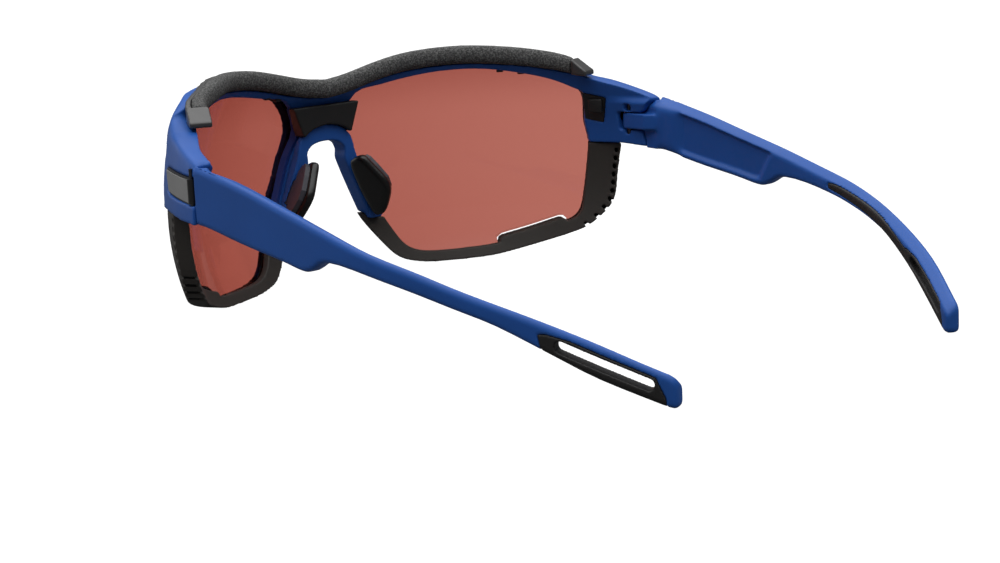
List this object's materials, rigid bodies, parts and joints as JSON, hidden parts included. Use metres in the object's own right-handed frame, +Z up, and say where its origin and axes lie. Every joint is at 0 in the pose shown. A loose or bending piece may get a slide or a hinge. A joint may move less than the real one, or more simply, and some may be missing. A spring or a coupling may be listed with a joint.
{
  "type": "sports sunglasses",
  "caption": "Wrap-around sports sunglasses with a moulded blue front, tinted curved lenses, a foam sweat bar, folding temples and swing-out lens locks.",
  "frame": {"origin": "on the surface that the glasses stand on, below the middle of the box around them", "axes": "+X to the wearer's right, +Y forwards, +Z up"},
  "size_m": [0.1386, 0.1684, 0.054],
  "materials": {
    "blue_plastic": "satin royal blue moulding",
    "lens": "red-brown tint, see-through",
    "black_plastic": "fine matte",
    "seal": "matte",
    "cover": "satin",
    "soft_rubber": "soft matte rubber",
    "grey_plastic": "dark grey satin",
    "foam": "soft fine-grained foam",
    "steel": "plain turned steel",
    "plate": "light grey face, bare"
  },
  "bodies": {
    "front": {"front_frame": "blue_plastic", "lens_left": "lens", "lens_right": "lens", "lower_rim_left": "black_plastic", "lower_rim_right": "black_plastic", "lens_seal_left": "seal", "lens_seal_right": "seal", "bridge_cover": "cover", "nose_pad_left": "soft_rubber", "nose_pad_right": "soft_rubber", "pad_core_left": "grey_plastic", "pad_core_right": "grey_plastic", "sweat_bar_carrier": "grey_plastic", "sweat_bar_foam": "foam", "hinge_pin_left": "steel", "hinge_pin_right": "steel", "lock_housing_left": "black_plastic", "lock_housing_right": "black_plastic", "lock_pin_left": "steel", "lock_pin_right": "steel"},
    "temple_left_arm": {"temple_left": "blue_plastic", "temple_grip_left": "soft_rubber"},
    "temple_right_arm": {"temple_right": "blue_plastic", "temple_grip_right": "soft_rubber"},
    "lens_lock_left_lever": {"lock_lever_left": "black_plastic", "lock_plate_left": "plate"},
    "lens_lock_right_lever": {"lock_lever_right": "black_plastic", "lock_plate_right": "plate"}
  },
  "joints": [
    {"name": "temple_fold_right", "type": "hinge", "parent": "front", "child": "temple_right_arm", "pos_m": [0.06427, 0.03621, 0.0335], "axis": [0, 0, -1], "range_deg": [0, 76]},
    {"name": "temple_fold_left", "type": "hinge", "parent": "front", "child": "temple_left_arm", "pos_m": [-0.06427, 0.03621, 0.0335], "axis": [0, 0, 1], "range_deg": [0, 68]},
    {"name": "lens_lock_right", "type": "hinge", "parent": "front", "child": "lens_lock_right_lever", "pos_m": [0.06817, 0.03011, 0.0342], "axis": [0, 0, -1], "range_deg": [0, 50]},
    {"name": "lens_lock_left", "type": "hinge", "parent": "front", "child": "lens_lock_left_lever", "pos_m": [-0.06817, 0.03011, 0.0342], "axis": [0, 0, 1], "range_deg": [0, 50]}
  ]
}
